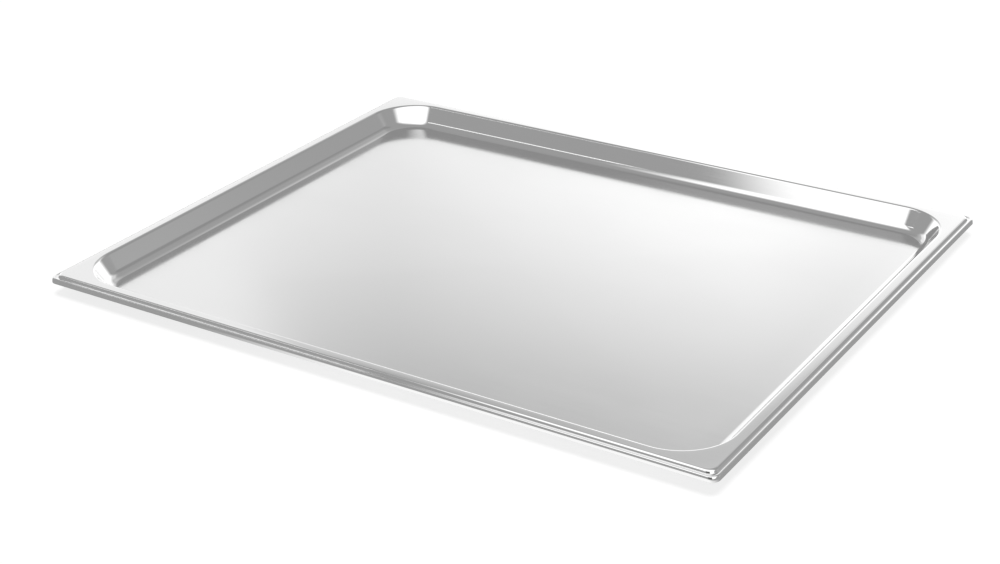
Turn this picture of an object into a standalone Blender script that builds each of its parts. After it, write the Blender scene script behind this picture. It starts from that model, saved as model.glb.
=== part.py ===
"""A shallow gastronorm pan of the 2/1 size, drawn in one piece from stainless steel sheet.

The pan is one pressing, so it is modelled as a press makes it: one continuous skin, which is
the side that shows (the well's inside, the top of the rim and the rim's outer face), and then
the sheet's thickness behind that skin. The skin is a loft of rounded rectangles. A section
through the side of the pan says how far in from the outside each rectangle lies and how high.
The well's corners are wide and share one centre, and the rim's corners are tight.

Units are metres and Z is up. The origin is the middle of the face that the pan rests on, X runs
along the long side and Y along the short one.
"""

import math

import bmesh
import bpy

# Size over the rim, and the sheet that it is drawn from
LENGTH = 0.650
WIDTH = 0.530
HEIGHT = 0.020
SHEET = 0.0008

# The rim, from its outer foot inwards: an upright lip, a slanted shoulder, a bead that falls
# a little to the groove behind it, a step up and a flat shelf. Slopes are measured from upright.
# Widths and drops run to where the straight runs would meet if the bends were sharp.
LIP_DROP = 0.0023
LIP_SLOPE = math.radians(7)
SHOULDER_DROP = 0.0019
SHOULDER_SLOPE = math.radians(27)
BEAD_WIDTH = 0.0026
BEAD_RISE = 0.0004
STEP_DROP = 0.00255
STEP_SLOPE = math.radians(27)
SHELF_WIDTH = 0.00905

# The well: its wall leans outwards and runs into the base through a cove
WALL_SLOPE = math.radians(32)
COVE_INSIDE = 0.0115

# Bends in the sheet, each by its inside radius, as a press tool has it
BROW_INSIDE = 0.0022
STEP_INSIDE = 0.0014
GROOVE_INSIDE = 0.0005
BEAD_INSIDE = 0.0003
KNEE_INSIDE = 0.0026

# Corners in plan: the well's is measured at the shelf's inner edge
WELL_CORNER_RADIUS = 0.0480
RIM_CORNER_RADIUS = 0.0075

# Facets
CORNER_STEPS = 12
COVE_STEPS = 10
BROW_STEPS = 6
RIM_BEND_STEPS = 4
KNEE_STEPS = 2
SHARP_EDGE = math.radians(40)

# Share of a straight run that the bends at its two ends may take up between them
BEND_SHARE = 0.95

STEEL_COLOUR = (0.80, 0.80, 0.79, 1.0)
STEEL_ROUGHNESS = 0.22


def rim_insets():
    """Insets from the outside of the knee, the bead, the groove and the shelf's two edges."""
    knee = LIP_DROP * math.tan(LIP_SLOPE)
    bead = knee + SHOULDER_DROP * math.tan(SHOULDER_SLOPE)
    groove = bead + BEAD_WIDTH
    shelf_outer = groove + STEP_DROP * math.tan(STEP_SLOPE)
    return knee, bead, groove, shelf_outer, shelf_outer + SHELF_WIDTH


def sharp_section():
    """(inset, height) of the section's corners before they are rounded, from the foot to the base."""
    knee, bead, groove, shelf_outer, shelf_inner = rim_insets()
    groove_height = HEIGHT - STEP_DROP
    bead_height = groove_height + BEAD_RISE
    knee_height = bead_height - SHOULDER_DROP
    wall_foot = shelf_inner + (HEIGHT - SHEET) * math.tan(WALL_SLOPE)
    return [
        (0.0, knee_height - LIP_DROP),
        (knee, knee_height),
        (bead, bead_height),
        (groove, groove_height),
        (shelf_outer, HEIGHT),
        (shelf_inner, HEIGHT),
        (wall_foot, SHEET),
        (WIDTH / 2, SHEET),
    ]


def turn_at(before, corner, after):
    """How far the section turns at a corner, as a signed angle."""
    arriving = math.atan2(corner[1] - before[1], corner[0] - before[0])
    leaving = math.atan2(after[1] - corner[1], after[0] - corner[0])
    return math.remainder(leaving - arriving, math.tau)


def fitted_radii(sharp, radii):
    """The bends' radii, made smaller where a straight run is too short for the bends at its ends."""
    turns = [turn_at(*sharp[k : k + 3]) for k in range(len(radii))]
    reaches = [r * math.tan(abs(turn) / 2) for r, turn in zip(radii, turns)]
    runs = [math.dist(a, b) for a, b in zip(sharp, sharp[1:])]
    taken = [a + b for a, b in zip([0.0] + reaches, reaches + [0.0])]
    fits = [min(1.0, BEND_SHARE * run / used) for run, used in zip(runs, taken)]
    return [r * min(pair) for r, pair in zip(radii, zip(fits, fits[1:]))]


def rounded_bend(before, corner, after, radius, steps):
    """Points of the arc that touches the runs on both sides of a corner, from before to after."""
    turn = turn_at(before, corner, after)
    heading = math.atan2(corner[1] - before[1], corner[0] - before[0])
    reach = radius * math.tan(abs(turn) / 2)
    x = corner[0] - reach * math.cos(heading)
    z = corner[1] - reach * math.sin(heading)
    side = heading + math.copysign(math.pi / 2, turn)
    centre = (x + radius * math.cos(side), z + radius * math.sin(side))
    angles = (side + math.pi + turn * step / steps for step in range(steps + 1))
    return [(centre[0] + radius * math.cos(a), centre[1] + radius * math.sin(a)) for a in angles]


def section():
    """(inset, height) of each rectangle of the skin, from the rim's foot down to the base.

    The skin is the outside of every bend but the groove and the cove, so the sheet is added there."""
    sharp = sharp_section()
    outside = [inside + SHEET for inside in (KNEE_INSIDE, BEAD_INSIDE, STEP_INSIDE, BROW_INSIDE)]
    knee, bead, step, brow = outside
    radii = [knee, bead, GROOVE_INSIDE, step, brow, COVE_INSIDE]
    steps = [KNEE_STEPS, RIM_BEND_STEPS, RIM_BEND_STEPS, RIM_BEND_STEPS, BROW_STEPS, COVE_STEPS]
    points = [sharp[0]]
    for k, radius in enumerate(fitted_radii(sharp, radii)):
        points += rounded_bend(*sharp[k : k + 3], radius, steps[k])
    return points


def corner_radius(inset):
    """Radius in plan: tight over the rim, and about one centre from the shelf's inner edge inwards."""
    shelf_outer, shelf_inner = rim_insets()[-2:]
    on_rim = inset < (shelf_outer + shelf_inner) / 2
    return RIM_CORNER_RADIUS if on_rim else WELL_CORNER_RADIUS + shelf_inner - inset


def rounded_rectangle(inset, height):
    """Points of one rectangle of the loft, counter-clockwise seen from above."""
    radius = corner_radius(inset)
    reach_x = LENGTH / 2 - inset - radius
    reach_y = WIDTH / 2 - inset - radius
    points = []
    for quarter, (side_x, side_y) in enumerate(((1, 1), (-1, 1), (-1, -1), (1, -1))):
        for step in range(CORNER_STEPS + 1):
            angle = (quarter + step / CORNER_STEPS) * math.pi / 2
            x = side_x * reach_x + radius * math.cos(angle)
            y = side_y * reach_y + radius * math.sin(angle)
            points.append((x, y, height))
    return points


def lofted_skin():
    """The side of the sheet that shows: a loft through the section's rectangles, closed by the base."""
    bm = bmesh.new()
    rings = [[bm.verts.new(p) for p in rounded_rectangle(*point)] for point in section()]
    count = len(rings[0])
    for outer, inner in zip(rings, rings[1:]):
        for k in range(count):
            after = (k + 1) % count
            bm.faces.new((outer[k], outer[after], inner[after], inner[k]))
    bm.faces.new(rings[-1])
    mesh = bpy.data.meshes.new("pan")
    bm.to_mesh(mesh)
    bm.free()
    return mesh


def steel():
    """Satin stainless steel."""
    material = bpy.data.materials.new("stainless_steel")
    material.use_nodes = True
    shader = material.node_tree.nodes["Principled BSDF"]
    shader.inputs["Base Color"].default_value = STEEL_COLOUR
    shader.inputs["Metallic"].default_value = 1.0
    shader.inputs["Roughness"].default_value = STEEL_ROUGHNESS
    return material


def pan():
    """The pan: the skin, and the sheet's thickness on its hidden side."""
    mesh = lofted_skin()
    mesh.materials.append(steel())
    obj = bpy.data.objects.new("pan", mesh)
    thickness = obj.modifiers.new("sheet", "SOLIDIFY")
    thickness.thickness = SHEET
    thickness.offset = -1
    thickness.use_even_offset = True
    thickness.use_quality_normals = True
    mesh.shade_smooth()
    mesh.set_sharp_from_angle(angle=SHARP_EDGE)
    return obj


def main():
    for old in list(bpy.data.objects):
        bpy.data.objects.remove(old)
    collection = bpy.data.collections.new("gastronorm_pan")
    bpy.context.scene.collection.children.link(collection)
    collection.objects.link(pan())


main()
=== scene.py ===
# %% [markdown]
# A gastronorm pan of the 2/1 size, on a white studio floor
#
# The real pan is one pressing. A flat blank of stainless steel sheet is drawn over a punch, so the
# base, the sloping walls and the stepped rim are all the same unbroken sheet. The CAD part holds
# that shape already. This script gives it a finer skin, a real steel finish, and the studio that
# the steel mirrors. Polished metal has almost no colour of its own, so most of the likeness
# comes from what stands round it.

# %% The frame
import math

import bpy
import numpy as np
from mathutils import Matrix, Vector


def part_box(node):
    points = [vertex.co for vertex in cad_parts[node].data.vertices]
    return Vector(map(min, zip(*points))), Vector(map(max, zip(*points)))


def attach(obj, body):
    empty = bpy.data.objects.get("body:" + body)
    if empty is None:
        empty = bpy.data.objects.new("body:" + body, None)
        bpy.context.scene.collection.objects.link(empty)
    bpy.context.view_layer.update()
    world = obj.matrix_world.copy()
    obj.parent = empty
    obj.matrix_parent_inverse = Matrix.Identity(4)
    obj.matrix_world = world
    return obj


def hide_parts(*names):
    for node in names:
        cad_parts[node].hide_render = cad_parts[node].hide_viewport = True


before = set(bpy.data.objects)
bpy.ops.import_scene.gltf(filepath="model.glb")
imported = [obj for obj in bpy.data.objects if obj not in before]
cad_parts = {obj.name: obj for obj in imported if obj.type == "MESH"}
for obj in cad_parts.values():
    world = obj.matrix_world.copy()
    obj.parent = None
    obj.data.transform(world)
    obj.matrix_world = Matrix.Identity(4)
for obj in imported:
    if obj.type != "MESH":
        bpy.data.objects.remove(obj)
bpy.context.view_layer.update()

# %% [markdown]
# The sizes of the pan
#
# The outside comes from the CAD node, so this skin can't differ from it in length, width or
# height. The rest are the sizes that a press tool for such a pan has: the slopes of the straight
# runs, and the radius of each bend, measured on the side of the sheet that shows.

# %% Sizes
LOW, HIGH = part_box("pan")
LENGTH, WIDTH, HEIGHT = (HIGH[k] - LOW[k] for k in range(3))
SHEET = 0.0008
MM = 1000

LIP_DROP, LIP_SLOPE = 0.0023, math.radians(7)
SHOULDER_DROP, SHOULDER_SLOPE = 0.0019, math.radians(27)
BEAD_WIDTH, BEAD_RISE = 0.0026, 0.0004
STEP_DROP, STEP_SLOPE = 0.00255, math.radians(27)
SHELF_WIDTH = 0.00905
WALL_SLOPE = math.radians(32)
KNEE, BEAD, GROOVE_BEND, STEP, BROW, COVE = 0.0034, 0.0011, 0.0005, 0.0022, 0.0030, 0.0115
WELL_CORNER_RADIUS, RIM_CORNER_RADIUS = 0.0480, 0.0075
print(f"pan {LENGTH * MM:.0f} x {WIDTH * MM:.0f} x {HEIGHT * MM:.0f} mm in {SHEET * MM} mm sheet")

# %% [markdown]
# The section of the sheet
#
# Cut through one side of the pan and the sheet shows as a line with six bends: knee, bead, groove,
# step, brow and cove. It could be drawn as a curve and given a bevel. Here it is worked out with
# numpy, because then every bend is a true arc, and the same numbers say which way the sheet faces.
# A point of the section is (inset, height): how far in from the outside, and how high.

# %% The section
LIP_TOP = LIP_DROP * math.tan(LIP_SLOPE)
SHOULDER_TOP = LIP_TOP + SHOULDER_DROP * math.tan(SHOULDER_SLOPE)
GROOVE = SHOULDER_TOP + BEAD_WIDTH, HEIGHT - STEP_DROP
BEAD_HEIGHT = GROOVE[1] + BEAD_RISE
SHELF_OUTER = GROOVE[0] + STEP_DROP * math.tan(STEP_SLOPE)
SHELF_INNER = SHELF_OUTER + SHELF_WIDTH
WALL_FOOT = SHELF_INNER + (HEIGHT - SHEET) * math.tan(WALL_SLOPE)
CORNERS = np.array([
    (0, BEAD_HEIGHT - SHOULDER_DROP - LIP_DROP), (LIP_TOP, BEAD_HEIGHT - SHOULDER_DROP),
    (SHOULDER_TOP, BEAD_HEIGHT), GROOVE, (SHELF_OUTER, HEIGHT),
    (SHELF_INNER, HEIGHT), (WALL_FOOT, SHEET), (WIDTH / 2, SHEET)])
BENDS = [(KNEE, 12), (BEAD, 20), (GROOVE_BEND, 20), (STEP, 20), (BROW, 24), (COVE, 40)]


def bend(before, corner, after, radius, steps):
    """The arc of a radius that touches the two runs at a corner, and its outward directions.

    Its ends lie radius * tan(half the turn) from the corner. The centre is a radius to the side
    that the section turns to, and the arc's points are the centre plus the radius times a
    direction that turns evenly from one end to the other."""
    into, out_of = corner - before, after - corner
    heading = math.atan2(into[1], into[0])
    turn = math.remainder(math.atan2(out_of[1], out_of[0]) - heading, math.tau)
    start = corner - radius * math.tan(abs(turn) / 2) * into / np.linalg.norm(into)
    side = heading + math.copysign(math.pi / 2, turn)
    centre = start + radius * np.array([math.cos(side), math.sin(side)])
    angle = side + math.pi + turn * np.linspace(0, 1, steps + 1)
    points = centre + radius * np.stack([np.cos(angle), np.sin(angle)], 1)
    facing = heading + math.pi / 2 + turn * np.linspace(0, 1, steps + 1)
    return points, facing


def section():
    """Points of the showing side from the foot to the base, and the angle each one faces."""
    arcs = [bend(*CORNERS[k:k + 3], *BENDS[k]) for k in range(len(BENDS))]
    first = np.array([CORNERS[0]])
    points = np.concatenate([first] + [points for points, _ in arcs])
    facing = np.concatenate([arcs[0][1][:1]] + [facing for _, facing in arcs])
    return points, facing


SKIN, FACING = section()
SHEET_ACROSS = np.linalg.norm(np.diff(SKIN, axis=0), axis=1).sum()
print(f"section: {len(SKIN)} points, {SHEET_ACROSS * MM:.1f} mm of sheet")

# %% [markdown]
# Both sides of the sheet, and its cut edge
#
# The hidden side of bent sheet runs parallel to the showing side, one thickness behind it. A
# Solidify modifier would do that too. Moving each point back along its own facing direction is
# exact round the bends, though, and leaves room to round the cut edge at the foot, which a press
# shop deburrs. The edge is half a circle as thick as the sheet. In plan, a point that moves in by
# some distance takes that much off its corner radius, so the sheet stays as thick in the corners.

# %% The closed profile
EDGE_STEPS = 8


def corner_radius(inset):
    """Plan radius at an inset: tight on the rim, and one shared centre from the shelf inwards."""
    on_rim = inset < (SHELF_OUTER + SHELF_INNER) / 2
    return np.where(on_rim, RIM_CORNER_RADIUS, WELL_CORNER_RADIUS + SHELF_INNER - inset)


def closed_profile():
    """(inset, height) of each ring from the hidden base round the foot to the showing base, and
    each ring's plan radius.

    The hidden point is the showing point minus a thickness times its facing direction. The cut
    edge is the foot's middle plus half a thickness times a direction turning through half a turn."""
    away = np.stack([np.cos(FACING), np.sin(FACING)], 1)
    hidden = SKIN - SHEET * away
    radius = corner_radius(SKIN[:, 0])
    hidden_radius = radius - (hidden[:, 0] - SKIN[:, 0])
    turn = FACING[0] + math.pi - np.linspace(0, math.pi, EDGE_STEPS + 1)[1:-1]
    middle = (SKIN[0] + hidden[0]) / 2
    edge = middle + SHEET / 2 * np.stack([np.cos(turn), np.sin(turn)], 1)
    edge[:, 0] = np.maximum(edge[:, 0], 0)
    edge_radius = np.interp(edge[:, 0], [SKIN[0, 0], hidden[0, 0]], [radius[0], hidden_radius[0]])
    rings = np.concatenate([hidden[::-1], edge, SKIN])
    radii = np.concatenate([hidden_radius[::-1], edge_radius, radius])
    return rings, radii


RINGS, RADII = closed_profile()
print(f"closed profile: {len(RINGS)} rings")

# %% [markdown]
# Round the pan
#
# Each ring of the profile is a rectangle with round corners. All rings have the same number
# of points, so neighbouring rings join into four-sided faces with no gaps. The corners need many
# points, because a mirror shows every facet there, while the straight sides need few.

# %% The path and the grid
CORNER_STEPS, SIDE_STEPS = 48, 24


def path_directions():
    """For each point round a ring: the signs of its corner, and the direction it faces as an angle.

    A corner's points turn through a quarter circle. Along a side the signs go evenly from one
    corner's to the next one's, and the angle stays the side's own."""
    quarter = np.repeat(np.arange(4), CORNER_STEPS + SIDE_STEPS)
    step = np.tile(np.arange(CORNER_STEPS + SIDE_STEPS), 4)
    angle = (quarter + np.minimum(step / CORNER_STEPS, 1)) * math.pi / 2
    share = np.clip((step - CORNER_STEPS) / SIDE_STEPS, 0, 1)
    signs = np.array([(1, 1), (-1, 1), (-1, -1), (1, -1)])
    here, there = signs[quarter], signs[(quarter + 1) % 4]
    return here * (1 - share[:, None]) + there * share[:, None], angle


def ring_points(inset, height, radius):
    """Grid of points: the signs times the reach from the middle to a corner's centre, plus the
    radius times the direction of the point's angle."""
    place, angle = path_directions()
    reach = np.stack([LENGTH / 2 - inset - radius, WIDTH / 2 - inset - radius], -1)
    direction = np.stack([np.cos(angle), np.sin(angle)], -1)
    plan = reach[:, None, :] * place[None] + radius[:, None, None] * direction[None]
    return np.concatenate([plan, np.broadcast_to(height[:, None, None], (*plan.shape[:2], 1))], -1)


GRID = ring_points(RINGS[:, 0], RINGS[:, 1], RADII)
print("grid of rings and points round:", GRID.shape[:2])

# %% [markdown]
# The base
#
# The base is the part of the blank that the punch never bends. It closes the grid with rings that
# shrink evenly to the middle. A big thin sheet is never quite flat after pressing: it keeps a
# slight crown, a small part of a millimetre high, and that is enough to sway what it mirrors.

# %% The base's rings
BASE_RINGS = 16
CROWN = 0.00025


def base_rings(edge_ring):
    """Rings from just inside the edge to near the middle, each scaled about the middle.

    The crown's height is the crown times the square of one minus the scale squared, so it starts
    and ends level."""
    scale = np.linspace(1, 0, BASE_RINGS + 1)[1:-1]
    rings = edge_ring[None] * np.array([1, 1, 0]) * scale[:, None, None]
    rings[..., 2] = edge_ring[0, 2] + CROWN * ((1 - scale**2) ** 2)[:, None]
    return rings


def closed_grid():
    """All rings from the middle of the hidden base to the middle of the showing one."""
    under, above = base_rings(GRID[0])[::-1], base_rings(GRID[-1])
    return np.concatenate([under, GRID, above])


ALL_RINGS = closed_grid()
print(f"{ALL_RINGS.shape[0]} rings in all, crown {CROWN * MM} mm")

# %% [markdown]
# The mesh
#
# The points go into the mesh as one flat list, ring after ring, with one more point at each
# end for the middle of the base. Faces are worked out from positions in that list.

# %% Building the mesh


def grid_mesh(name, rings, low_pole, high_pole):
    """A closed mesh: quads between neighbouring rings, and a fan of triangles at each pole.

    Point j of ring i is number i * around + j. A quad joins (i, j), (i, j+1), (i+1, j+1) and
    (i+1, j), with j counted round the ring."""
    count, around = rings.shape[:2]
    i, j = np.meshgrid(np.arange(count - 1), np.arange(around), indexing="ij")
    after = (j + 1) % around
    here, there = i * around, (i + 1) * around
    quads = np.stack([here + j, here + after, there + after, there + j], -1)
    low, high = count * around, count * around + 1
    j, after, last = j[0], after[0], (count - 1) * around
    fans = np.concatenate([
        np.stack([np.full(around, low), after, j], 1),
        np.stack([np.full(around, high), last + j, last + after], 1)])
    points = np.concatenate([rings.reshape(-1, 3), [low_pole, high_pole]])
    mesh = bpy.data.meshes.new(name)
    mesh.from_pydata(points, [], [*quads.reshape(-1, 4).tolist(), *fans.tolist()])
    mesh.shade_smooth()
    return mesh


CENTRE_UNDER = (0, 0, ALL_RINGS[0, 0, 2])
CENTRE_ABOVE = (0, 0, ALL_RINGS[-1, 0, 2])
pan_mesh = grid_mesh("pan_sheet", ALL_RINGS, CENTRE_UNDER, CENTRE_ABOVE)
pan = bpy.data.objects.new("pan_sheet", pan_mesh)
bpy.context.scene.collection.objects.link(pan)
print(f"pan_sheet: {len(pan_mesh.vertices)} points, {len(pan_mesh.polygons)} faces")

# %% [markdown]
# A map of the sheet
#
# Marks that the press leaves run down the walls and turn with the corners, so the material needs
# to know how far round the pan and how far across the sheet each point lies. Unwrapping by hand
# would do it. On a grid both lengths are known already, so they are written straight into the map.

# %% The sheet's map


def lengths_along(steps):
    """The length from the first point to each point, given the steps from one to the next."""
    return np.concatenate([[0], np.cumsum(np.linalg.norm(steps, axis=1))])


def sheet_map(rings):
    """For each corner of each face: the length round the middle ring, and the length across the
    rings, both in metres. It has one seam, and no jump inside a face.

    The fans at the two poles keep the length across of the ring that they start from."""
    count, around = rings.shape[:2]
    middle = rings[count // 2]
    length_round = lengths_along(np.roll(middle, -1, 0) - middle)
    across = lengths_along(np.diff(rings[:, 0], axis=0))
    here, after = length_round[:-1], length_round[1:]
    quad_round = np.stack([here, after, after, here], 1)[None].repeat(count - 1, 0)
    quad_across = across[np.arange(count - 1)[:, None] + np.array([0, 0, 1, 1])]
    quads = np.stack([quad_round, quad_across[:, None].repeat(around, 1)], -1)
    fan_round = np.stack([[here, after, here], [here, here, after]]).transpose(0, 2, 1)
    fans = np.stack([fan_round, np.broadcast_to(across[[0, -1]][:, None, None], fan_round.shape)], -1)
    return np.concatenate([quads.ravel(), fans.ravel()]).astype(np.float32)


pan_mesh.uv_layers.new(name="sheet").data.foreach_set("uv", sheet_map(ALL_RINGS))
print(f"map: {len(pan_mesh.uv_layers['sheet'].data)} corners of faces")

# %% [markdown]
# Where the sheet was worked
#
# The base keeps the mill's satin finish. The walls, the cove and the rim were stretched over
# polished steel tools, so they come out brighter. An attribute on the points, 0 on the base and 1 on
# the worked sheet, lets one material hold both. It also changes gently at the cove, as on the pan.

# %% The worked attribute
WORKED_FADE = 0.004


def worked_share(points):
    """0 on the flat base and 1 on the rest: how far out of the base's outline a point lies.

    The distance is that to a rectangle with round corners: inside it is negative, and the share
    rises evenly from 0 to 1 over the fade's width."""
    outline = SKIN[-1, 0]
    radius = float(corner_radius(outline))
    reach = np.array([LENGTH / 2 - outline - radius, WIDTH / 2 - outline - radius])
    beyond = np.maximum(np.abs(points[:, :2]) - reach, 0)
    return np.clip((np.linalg.norm(beyond, axis=1) - radius) / WORKED_FADE + 0.5, 0, 1)


coordinates = np.empty(len(pan_mesh.vertices) * 3, np.float32)
pan_mesh.vertices.foreach_get("co", coordinates)
share = worked_share(coordinates.reshape(-1, 3)).astype(np.float32)
pan_mesh.attributes.new("worked", "FLOAT", "POINT").data.foreach_set("value", share)
print(f"worked share: {share.mean():.2f} of the points on average")

# %% [markdown]
# The steel
#
# Stainless steel is a plain metal in Blender: Metallic at 1, a pale grey colour and a low
# roughness. Three things keep it from looking like chrome. The mill's rollers leave a faint grain
# along the length, handling leaves wide soft patches a little duller than the rest, and the press
# drags fine marks across the walls and the rim. All of them are very slight on a new pan.
#
# First come small helpers, so that the materials below read as recipes.

# %% Helpers for materials


def add(tree, kind, **inputs):
    """A new node with the given input values set, by input name."""
    node = tree.nodes.new(kind)
    for name, value in inputs.items():
        node.inputs[name.replace("_", " ")].default_value = value
    return node


def scaled(tree, source, scale):
    """A coordinate output times a scale for each axis."""
    mapping = add(tree, "ShaderNodeMapping", Scale=scale)
    tree.links.new(source, mapping.inputs["Vector"])
    return mapping.outputs["Vector"]


def ranged(tree, source, low, high, to_low, to_high, smooth=False):
    """A value that goes from to_low to to_high as the source goes from low to high, evenly or
    with a soft start and end. Past either end it stays level."""
    node = add(tree, "ShaderNodeMapRange", From_Min=low, From_Max=high, To_Min=to_low, To_Max=to_high)
    node.interpolation_type = "SMOOTHSTEP" if smooth else "LINEAR"
    tree.links.new(source, node.inputs["Value"])
    return node.outputs["Result"]


def maths(tree, operation, first, second):
    """One Math node on two values or outputs."""
    node = tree.nodes.new("ShaderNodeMath")
    node.operation = operation
    for socket, value in zip(node.inputs, (first, second)):
        if isinstance(value, (int, float)):
            socket.default_value = value
        else:
            tree.links.new(value, socket)
    return node.outputs["Value"]


def noise(tree, vector, detail):
    """The grey of a noise at a coordinate that is already scaled, around 0.5."""
    texture = add(tree, "ShaderNodeTexNoise", Scale=1.0, Detail=detail)
    tree.links.new(vector, texture.inputs["Vector"])
    return texture.outputs["Fac"]


def new_material(name):
    """A new material, its node tree and its shader."""
    material = bpy.data.materials.new(name)
    material.use_nodes = True
    return material, material.node_tree, material.node_tree.nodes["Principled BSDF"]


print("helpers:", [f.__name__ for f in (add, scaled, ranged, maths, noise, new_material)])

# %% [markdown]
# The steel's recipe
#
# The three marks go into the roughness, and the grain and the drag marks also into a bump far
# finer than a hair. Object coordinates carry the grain, since rollers know nothing of the pan's
# shape. The drag marks read the mesh's own map, because the metal flows down each wall.

# %% The steel's nodes
STEEL = (0.76, 0.76, 0.76, 1)
SATIN_ROUGHNESS, WORKED_ROUGHNESS = 0.125, 0.075
GRAIN_SCALE, PATCH_SCALE, DRAG_SCALE = (10, 700, 700), (9, 14, 9), (900, 25, 1)
GRAIN_DETAIL, PATCH_DETAIL, DRAG_DETAIL = 3.0, 2.0, 3.0
GRAIN_SPAN, PATCH_SPAN, NOISE_MIDDLE = (0.3, 0.7), (0.4, 0.7), 0.5
GRAIN_SHARE, PATCH_SHARE, DRAG_SHARE = 0.015, 0.02, 0.015
BUMP_HEIGHT, BUMP_STRENGTH = 0.000002, 0.5


def steel():
    """Satin on the base and brighter where it was worked, with grain, dull patches and drag marks."""
    material, tree, shader = new_material("stainless_steel")
    shader.inputs["Base Color"].default_value = STEEL
    shader.inputs["Metallic"].default_value = 1.0
    attribute = add(tree, "ShaderNodeAttribute")
    attribute.attribute_name = "worked"
    worked = attribute.outputs["Fac"]
    place = add(tree, "ShaderNodeTexCoord").outputs["Object"]
    on_sheet = add(tree, "ShaderNodeUVMap")
    on_sheet.uv_map = "sheet"
    grain = noise(tree, scaled(tree, place, GRAIN_SCALE), GRAIN_DETAIL)
    patches = noise(tree, scaled(tree, place, PATCH_SCALE), PATCH_DETAIL)
    drag = noise(tree, scaled(tree, on_sheet.outputs["UV"], DRAG_SCALE), DRAG_DETAIL)
    drag = maths(tree, "MULTIPLY", maths(tree, "SUBTRACT", drag, NOISE_MIDDLE), worked)
    roughness = ranged(tree, worked, 0, 1, SATIN_ROUGHNESS, WORKED_ROUGHNESS)
    marks = [ranged(tree, grain, *GRAIN_SPAN, -GRAIN_SHARE, GRAIN_SHARE),
             ranged(tree, patches, *PATCH_SPAN, 0, PATCH_SHARE, smooth=True),
             maths(tree, "MULTIPLY", drag, 2 * DRAG_SHARE)]
    for mark in marks:
        roughness = maths(tree, "ADD", roughness, mark)
    tree.links.new(roughness, shader.inputs["Roughness"])
    bump = add(tree, "ShaderNodeBump", Strength=BUMP_STRENGTH, Distance=BUMP_HEIGHT)
    tree.links.new(maths(tree, "ADD", grain, drag), bump.inputs["Height"])
    tree.links.new(bump.outputs["Normal"], shader.inputs["Normal"])
    return material


pan_mesh.materials.append(steel())
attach(pan, "root")
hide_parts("pan")
print(f"steel: roughness {WORKED_ROUGHNESS} on the rim and walls, {SATIN_ROUGHNESS} on the base")

# %% [markdown]
# The camera's place
#
# The camera was solved from the photo: its turn, height, tilt, distance and lens are the ones
# that put the rim's corners and both far walls where the photo has them. The lens is given as a
# share of the frame's width. It comes before the studio, because some cards are placed by the
# direction that it looks in.

# %% The camera
AZIMUTH, ELEVATION, ROLL = math.radians(32.9587), math.radians(25.8190), math.radians(-1.0986)
TARGET = Vector((0.01249, -0.05845, 0.0100))
DISTANCE = 1.6352
FOCAL_SHARE = 1.8745
SENSOR = 36.0
NEAREST_SEEN = 0.01

level_back = Vector((math.sin(AZIMUTH), -math.cos(AZIMUTH), 0))
back = level_back * math.cos(ELEVATION) + Vector((0, 0, math.sin(ELEVATION)))
level_right = (-back).cross(Vector((0, 0, 1))).normalized()
level_up = level_right.cross(-back)
right = level_right * math.cos(ROLL) + level_up * math.sin(ROLL)
up = level_up * math.cos(ROLL) - level_right * math.sin(ROLL)
camera = bpy.data.objects.new("camera", bpy.data.cameras.new("camera"))
camera.data.sensor_width = SENSOR
camera.data.lens = SENSOR * FOCAL_SHARE
camera.data.clip_start = NEAREST_SEEN
turned = Matrix((right, up, back)).transposed().to_4x4()
camera.matrix_world = Matrix.Translation(TARGET + back * DISTANCE) @ turned
bpy.context.scene.collection.objects.link(camera)
bpy.context.scene.camera = camera
print("camera at", [round(value, 3) for value in camera.matrix_world.translation])

# %% [markdown]
# The studio's cards
#
# A mirror shows its surroundings, so a product photographer places white and grey cards until
# the metal reads well. Each card here is a face or a strip of faces that glows. It is marked as
# stage, and hidden from the camera and the floor, so only the steel sees it. Their places and
# greys follow the photo, by working out which way each part of the pan sends the camera's gaze.

# %% Helpers for cards


def card(name, points, faces, material):
    """A face or a strip of faces of the studio, which only mirrors see."""
    mesh = bpy.data.meshes.new(name)
    mesh.from_pydata(points, [], faces)
    mesh.materials.append(material)
    piece = bpy.data.objects.new(name, mesh)
    bpy.context.scene.collection.objects.link(piece)
    piece.visible_camera = piece.visible_diffuse = piece.visible_shadow = False
    return piece


def strip_faces(columns):
    """The faces of an upright strip whose low points come first, and then its high ones."""
    k = np.arange(columns - 1)
    return np.stack([k, k + 1, k + 1 + columns, k + columns], 1).tolist()


def level_card(name, x_range, y_range, height, material):
    """A flat card at a height, between two x and two y."""
    (x0, x1), (y0, y1) = x_range, y_range
    return card(name, [(x0, y0, height), (x1, y0, height), (x1, y1, height), (x0, y1, height)],
                [(0, 1, 2, 3)], material)


def glow(name, strength):
    """A material that only glows, at a plain strength or at one that its tree works out."""
    material, tree, shader = new_material(name)
    tree.nodes.remove(shader)
    emission = add(tree, "ShaderNodeEmission")
    if callable(strength):
        tree.links.new(strength(tree), emission.inputs["Strength"])
    else:
        emission.inputs["Strength"].default_value = strength
    tree.links.new(emission.outputs["Emission"], tree.nodes["Material Output"].inputs["Surface"])
    return material


def parts_of(tree, output_name="Object"):
    """The three parts of a coordinate."""
    parts = add(tree, "ShaderNodeSeparateXYZ")
    tree.links.new(add(tree, "ShaderNodeTexCoord").outputs[output_name], parts.inputs["Vector"])
    return parts.outputs


STUDIO_GREY = 0.42


def faded(tree, level, share):
    """The studio's grey plus a share of what a level has over it."""
    extra = maths(tree, "MULTIPLY", maths(tree, "SUBTRACT", level, STUDIO_GREY), share)
    return maths(tree, "ADD", extra, STUDIO_GREY)


print(f"cards glow; the studio's own grey is {STUDIO_GREY}")

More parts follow.
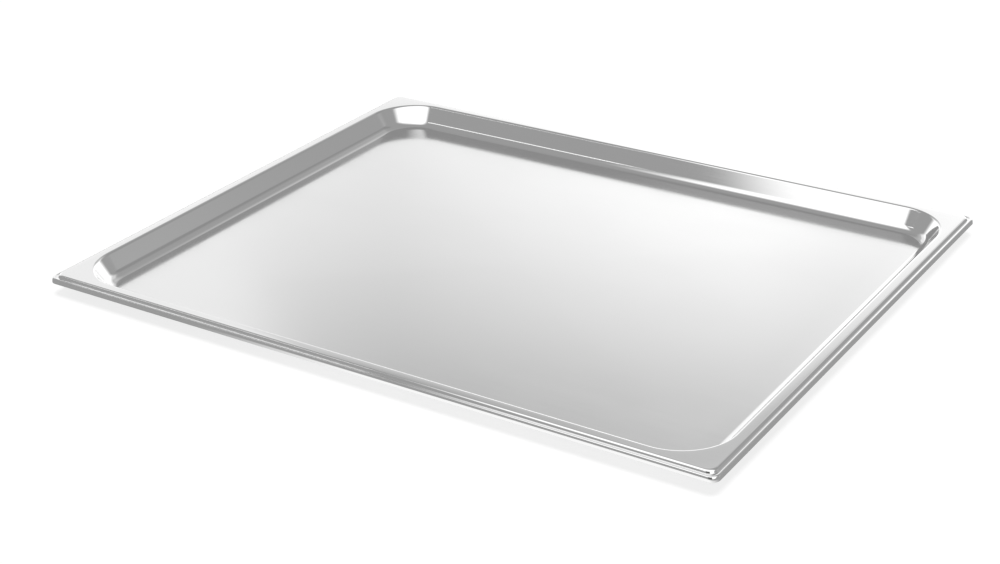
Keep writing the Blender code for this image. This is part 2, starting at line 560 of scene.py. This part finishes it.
# %% [markdown]
# The floor
#
# The pan lies on a white sheet on a grey table. The camera sees white everywhere. In the lip's
# mirror only the part of the sheet in front of the left side is white, and beyond its edges
# the table is grey. The white is mostly the floor's own glow. The paint under it takes the
# lamp's light, and with it the pan's shadow.

# %% The floor
FLOOR_HALF = 6.0
FLOOR_PAINT, FLOOR_GLOW = 0.22, 0.80
TABLE_GLOW, SHEET_GLOW = 0.18, 1.0
SHEET_LEFT, SHEET_RIGHT, SHEET_BACK = (-0.20, 0.00), (0.40, 0.33), (-0.24, -0.28)


def floor_paint():
    """Paint, and a glow: an even one for the camera, and in mirrors white on the sheet and grey
    round it."""
    material, tree, shader = new_material("floor")
    shader.inputs["Base Color"].default_value = (FLOOR_PAINT, FLOOR_PAINT, FLOOR_PAINT, 1)
    shader.inputs["Roughness"].default_value = 1.0
    shader.inputs["Specular IOR Level"].default_value = 0.0
    shader.inputs["Emission Color"].default_value = (1, 1, 1, 1)
    path = add(tree, "ShaderNodeLightPath").outputs
    x, y, _ = parts_of(tree)
    sheet = ranged(tree, x, *SHEET_LEFT, 0, 1, smooth=True)
    sheet = maths(tree, "MULTIPLY", sheet, ranged(tree, x, *SHEET_RIGHT, 0, 1))
    sheet = maths(tree, "MULTIPLY", sheet, ranged(tree, y, *SHEET_BACK, 0, 1))
    sheet_glow = ranged(tree, sheet, 0, 1, TABLE_GLOW, SHEET_GLOW)
    mirrored = maths(tree, "MULTIPLY", path["Is Glossy Ray"], sheet_glow)
    seen = maths(tree, "MULTIPLY", path["Is Camera Ray"], FLOOR_GLOW)
    tree.links.new(maths(tree, "ADD", seen, mirrored), shader.inputs["Emission Strength"])
    return material


floor = level_card("floor", (-FLOOR_HALF, FLOOR_HALF), (-FLOOR_HALF, FLOOR_HALF), 0.0, floor_paint())
floor.visible_camera = floor.visible_diffuse = floor.visible_shadow = True
print("floor:", floor.name, "with its paint at", FLOOR_PAINT)

# %% [markdown]
# The lamp overhead
#
# The shadow in the photo is a pale band a little narrower than the rim overhangs, with a soft
# edge, so a lamp hangs above and leans a little to the camera's side. It is a sun lamp with a
# wide angle. Glossy rays don't see it, since what the steel mirrors comes from the cards.

# %% The overhead lamp
LAMP_STRENGTH, LAMP_ANGLE, LAMP_LEAN = 2.2, math.radians(24), math.radians(16)

lamp = bpy.data.objects.new("overhead_lamp", bpy.data.lights.new("overhead_lamp", "SUN"))
lamp.data.energy = LAMP_STRENGTH
lamp.data.angle = LAMP_ANGLE
lamp.visible_glossy = False
lamp.rotation_euler = (LAMP_LEAN, 0, AZIMUTH)
bpy.context.scene.collection.objects.link(lamp)
print(f"lamp: strength {LAMP_STRENGTH}, {math.degrees(LAMP_ANGLE):.0f} degrees wide")

# %% [markdown]
# The soft box overhead
#
# A wide white panel hangs level above the pan, and shows in the right half of the back wall, in
# the corners and in the bends of the rim. Its left and far edges fade, as the cloth
# of a soft box does, and its left edge is turned a little against the pan.

# %% The soft box
BOX_HEIGHT = 1.2
BOX_X, BOX_Y = (-1.4, 2.2), (-2.2, 0.6)
BOX_LEFT_FADE, BOX_FAR_FADE, BOX_TURN = (-0.705, -0.458), (0.34, -0.10), 0.06
BOX_STRENGTH = 1.45


def soft_box_strength(tree):
    """White that fades to the studio's grey towards the left and the far edge."""
    x, y, _ = parts_of(tree)
    turned = maths(tree, "SUBTRACT", x, maths(tree, "MULTIPLY", y, BOX_TURN))
    left = ranged(tree, turned, *BOX_LEFT_FADE, 0, 1, smooth=True)
    far = ranged(tree, y, *BOX_FAR_FADE, 0, 1, smooth=True)
    return ranged(tree, maths(tree, "MULTIPLY", left, far), 0, 1, STUDIO_GREY, BOX_STRENGTH)


level_card("soft_box", BOX_X, BOX_Y, BOX_HEIGHT, glow("soft_box", soft_box_strength))
print(f"soft box: {BOX_X[1] - BOX_X[0]:.1f} x {BOX_Y[1] - BOX_Y[0]:.1f} m at {BOX_HEIGHT} m")

# %% [markdown]
# The strip light
#
# A long narrow light hangs to the left, level with the soft box. It gives the left side's bead its
# thin bright line, and shows once more as a fine line in the cove of the far right wall.

# %% The strip light
STRIP_X, STRIP_Y, STRIP_HEIGHT, STRIP_STRENGTH = (-1.42, -0.76), (-0.77, -0.57), 1.19, 1.6

level_card("strip_light", STRIP_X, STRIP_Y, STRIP_HEIGHT, glow("strip_light", STRIP_STRENGTH))
print(f"strip light: {STRIP_X[1] - STRIP_X[0]:.2f} m long")

# %% [markdown]
# The backdrop
#
# The base and the shelf lie flat and mirror what stands behind the pan, about as high above the
# floor as the camera is. In the photo that is a pale backdrop, white at the bottom and grey
# higher up, with a darker dip left of the middle. Two colour ramps hold it: one reads the height,
# in degrees as seen from the pan, and the other the direction to the side. Two paler panels, one
# to each side, are added where the backdrop is darker than they are. The card is a wide arc, so
# far away that every part of the pan sees it in the same directions.

# %% The backdrop
ARC_AWAY, ARC_TOP, ARC_COLUMNS = 30.0, math.radians(52), 25
BACKDROP_SIDE, SIDE_FADE = 54, 14
HEIGHT_STOPS = [(0, 1.43), (12, 1.43), (20, 1.24), (22.5, 1.155), (24.5, 1.06), (26, 0.935),
                (27.5, 0.86), (29, 0.67), (30, 0.56), (32, 0.56), (34, 0.62), (38, 0.57),
                (40, 0.50), (42, 0.44), (45, 0.39), (52, 0.39)]
SIDE_STOPS = [(-40, 1.05), (-11, 1.0), (-7, 0.92), (-4, 0.88), (0, 1.0), (3, 1.08),
              (5, 1.14), (9, 1.22), (12, 1.13), (40, 1.1)]
PANELS = [(1.08, (-3, -10), (36, 30)), (0.85, (20, 27), (41, 37))]
STOP_UNIT = 2.0


def ramp(tree, source, stops, place_of):
    """A colour ramp through (angle, value) stops. Values are halved in it, since a ramp ends at 1."""
    node = add(tree, "ShaderNodeValToRGB")
    tree.links.new(source, node.inputs["Fac"])
    elements = node.color_ramp.elements
    elements[0].position, elements[1].position = place_of(stops[0][0]), place_of(stops[-1][0])
    for angle, _ in stops[1:-1]:
        elements.new(place_of(angle))
    for element, (_, value) in zip(elements, stops):
        element.color = (value / STOP_UNIT,) * 3 + (1,)
    return maths(tree, "MULTIPLY", node.outputs["Color"], STOP_UNIT)


def height_share(degrees):
    """Where on an arc's height an angle above the floor lies, from 0 to 1."""
    return math.tan(math.radians(degrees)) / math.tan(ARC_TOP)


def side_share(degrees):
    """Where along the backdrop an angle to the side lies, from 0 to 1."""
    return (degrees / BACKDROP_SIDE + 1) / 2


def backdrop_strength(tree):
    """The height's value times the side's, or a panel where that is paler. Towards both ends it
    fades to the studio's grey."""
    u, v, _ = parts_of(tree, "UV")
    by_height = ramp(tree, v, HEIGHT_STOPS, height_share)
    by_side = ramp(tree, u, SIDE_STOPS, side_share)
    level = maths(tree, "MULTIPLY", by_height, by_side)
    for panel, sides, tops in PANELS:
        beside = ranged(tree, u, *map(side_share, sides), 0, 1, smooth=True)
        below = ranged(tree, v, *map(height_share, tops), 0, 1, smooth=True)
        lifted = maths(tree, "MULTIPLY", maths(tree, "MULTIPLY", beside, below), panel)
        level = maths(tree, "MAXIMUM", level, lifted)
    nearer_end = maths(tree, "MINIMUM", u, maths(tree, "SUBTRACT", 1, u))
    share = ranged(tree, nearer_end, 0, SIDE_FADE / BACKDROP_SIDE / 2, 0, 1, smooth=True)
    return faded(tree, level, share)


def arc_card(name, first, last, material):
    """An upright arc round the pan, between two side angles in degrees, which count to the right
    as the camera sees it. Each point of its foot is the distance times a direction.

    Its map runs from 0 to 1 along it and up it."""
    side = np.radians(np.linspace(first, last, ARC_COLUMNS))
    angle = math.pi / 2 + AZIMUTH - side
    foot = np.stack([np.cos(angle), np.sin(angle), 0 * side], 1) * ARC_AWAY
    top = foot + np.array([0, 0, ARC_AWAY * math.tan(ARC_TOP)])
    arc = card(name, np.concatenate([foot, top]), strip_faces(ARC_COLUMNS), material)
    along = (np.arange(ARC_COLUMNS - 1)[:, None] + np.array([0, 1, 1, 0])) / (ARC_COLUMNS - 1)
    upwards = np.broadcast_to(np.array([0, 0, 1, 1]), along.shape)
    layer = arc.data.uv_layers.new(name="UVMap")
    layer.data.foreach_set("uv", np.stack([along, upwards], -1).astype(np.float32).ravel())
    return arc


backdrop = arc_card("backdrop", -BACKDROP_SIDE, BACKDROP_SIDE, glow("backdrop", backdrop_strength))
print(f"backdrop: {len(backdrop.data.polygons)} faces, up to {math.degrees(ARC_TOP):.0f} degrees")

# %% [markdown]
# The side wall
#
# To the right of the backdrop stands the studio's own wall, and the pan's far left wall mirrors
# it: a little paler low down and away from the backdrop, and darker higher up, which the cove
# shows. The card is the next stretch of the same arc.

# %% The side wall
SIDE_WALL_END, SIDE_WALL_FADE = 100, 0.25
SIDE_WALL_LEVELS, SIDE_WALL_HEIGHTS = (0.46, 0.37), (24, 30)
SIDE_WALL_SHARES, SIDE_WALL_SIDES = (0.93, 1.12), (69, 82)


def side_wall_strength(tree):
    """A level that falls with the height, times a share that rises to the right. Over a quarter
    of the length at each end it fades to the studio's grey."""
    u, v, _ = parts_of(tree, "UV")
    level = ranged(tree, v, *map(height_share, SIDE_WALL_HEIGHTS), *SIDE_WALL_LEVELS, smooth=True)
    near, far = ((side - BACKDROP_SIDE) / (SIDE_WALL_END - BACKDROP_SIDE) for side in SIDE_WALL_SIDES)
    to_right = ranged(tree, u, near, far, *SIDE_WALL_SHARES, smooth=True)
    share = maths(tree, "MULTIPLY", ranged(tree, u, 0, SIDE_WALL_FADE, 0, 1, smooth=True),
                  ranged(tree, u, 1, 1 - SIDE_WALL_FADE, 0, 1, smooth=True))
    return faded(tree, maths(tree, "MULTIPLY", level, to_right), share)


side_wall = arc_card("side_wall", BACKDROP_SIDE, SIDE_WALL_END, glow("side_wall", side_wall_strength))
print(f"side wall: {len(side_wall.data.polygons)} faces, to {SIDE_WALL_END} degrees")

# %% [markdown]
# The dark side
#
# Behind the camera the studio is dark, and the rim's front corner, which faces the camera,
# shows it as dark marks. One bent dark card takes the place of the camera and its stand. It
# curves round the front corner, from straight in front to half right.

# %% The dark card
DARK_LEVEL = 0.15
DARK_AWAY, DARK_HEIGHTS = 1.1, (0.35, 1.18)
DARK_SIDES, DARK_COLUMNS = (-6, 42), 7


def dark_strip():
    """An upright strip round the front corner. Each point of its plan is the corner plus the
    distance times a direction."""
    angle = np.radians(np.linspace(*DARK_SIDES, DARK_COLUMNS))
    corner = np.array([LENGTH / 2, -WIDTH / 2])
    plan = corner + DARK_AWAY * np.stack([np.sin(angle), -np.cos(angle)], 1)
    low, high = (np.column_stack([plan, np.full(DARK_COLUMNS, height)]) for height in DARK_HEIGHTS)
    points = np.concatenate([low, high])
    return card("dark_side", points, strip_faces(DARK_COLUMNS), glow("dark", DARK_LEVEL))


dark_side = dark_strip()
print("dark card:", len(dark_side.data.polygons), "faces")

# %% [markdown]
# The world
#
# All directions without a card are the studio's plain grey, which is what the rest of the steel
# mirrors. The camera itself sees white instead.

# %% The world


def surroundings():
    """The studio's grey as light and in mirrors, and plain white for the camera."""
    world = bpy.data.worlds.new("studio")
    world.use_nodes = True
    tree = world.node_tree
    path = add(tree, "ShaderNodeLightPath").outputs
    background = tree.nodes["Background"]
    background.inputs["Color"].default_value = (1, 1, 1, 1)
    strength = ranged(tree, path["Is Camera Ray"], 0, 1, STUDIO_GREY, 1.0)
    tree.links.new(strength, background.inputs["Strength"])
    return world


bpy.context.scene.world = surroundings()
print("world: grey", STUDIO_GREY)

# %% [markdown]
# The finish
#
# The view is set to Standard, so that a grey comes out as it was written.

# %% The finish
bpy.context.scene.view_settings.view_transform = "Standard"
